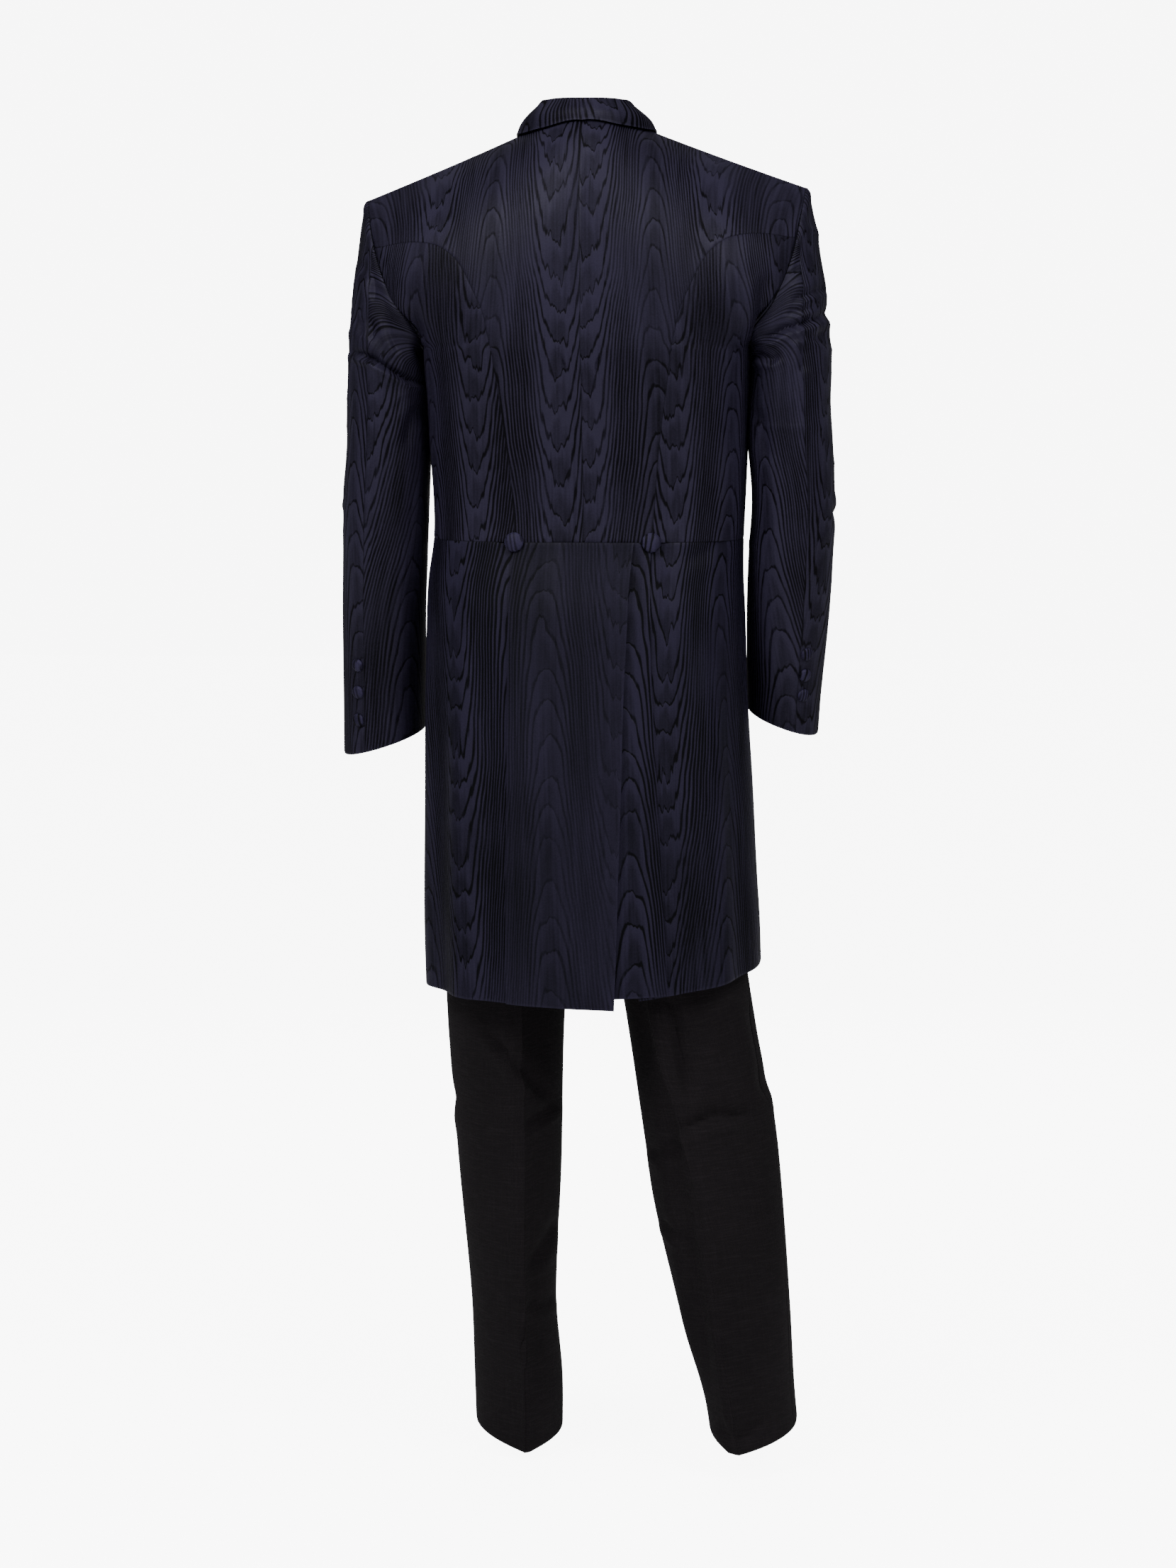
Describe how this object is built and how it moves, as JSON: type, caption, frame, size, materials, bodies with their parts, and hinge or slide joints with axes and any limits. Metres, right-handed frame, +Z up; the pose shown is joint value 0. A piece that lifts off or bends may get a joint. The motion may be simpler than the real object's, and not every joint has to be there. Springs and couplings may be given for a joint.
{
  "type": "three-piece suit",
  "caption": "Knee-length frock coat of watered silk over a matching waistcoat, with creased wool trousers, in the hollow form it has when worn.",
  "frame": {"origin": "between the two neck points of the shoulder line, where the suit hangs on its wearer", "axes": "the front of the suit faces -Y, the wearer's left is +X, +Z is up"},
  "size_m": [0.5708, 0.3708, 1.5699],
  "materials": {
    "moire_silk": "dark navy watered silk, soft sheen",
    "waistcoat_silk": "dark navy watered silk, soft sheen",
    "covered_button": "button covered with the coat's silk",
    "black_wool": "matt black wool with a fine slub"
  },
  "bodies": {
    "root": {"coat_back_left": "moire_silk", "coat_back_right": "moire_silk", "coat_side_body_left": "moire_silk", "coat_side_body_right": "moire_silk", "coat_front_left": "moire_silk", "coat_front_right": "moire_silk", "coat_skirt_back_left": "moire_silk", "coat_skirt_back_right": "moire_silk", "coat_skirt_side_left": "moire_silk", "coat_skirt_side_right": "moire_silk", "sleeve_top_left": "moire_silk", "sleeve_top_right": "moire_silk", "sleeve_under_left": "moire_silk", "sleeve_under_right": "moire_silk", "lapel_left": "moire_silk", "lapel_right": "moire_silk", "collar": "moire_silk", "waist_button_left": "covered_button", "waist_button_right": "covered_button", "cuff_button_left_1": "covered_button", "cuff_button_left_2": "covered_button", "cuff_button_left_3": "covered_button", "cuff_button_right_1": "covered_button", "cuff_button_right_2": "covered_button", "cuff_button_right_3": "covered_button", "coat_button_1": "covered_button", "coat_button_2": "covered_button", "coat_button_3": "covered_button", "coat_button_4": "covered_button", "waistcoat_back_left": "waistcoat_silk", "waistcoat_back_right": "waistcoat_silk", "waistcoat_front_left": "waistcoat_silk", "waistcoat_front_right": "waistcoat_silk", "waistcoat_button_1": "covered_button", "waistcoat_button_2": "covered_button", "waistcoat_button_3": "covered_button", "waistcoat_button_4": "covered_button", "waistcoat_button_5": "covered_button", "trouser_back_left": "black_wool", "trouser_back_right": "black_wool", "trouser_front_left": "black_wool", "trouser_front_right": "black_wool", "waistband_left": "black_wool", "waistband_right": "black_wool"}
  },
  "joints": []
}
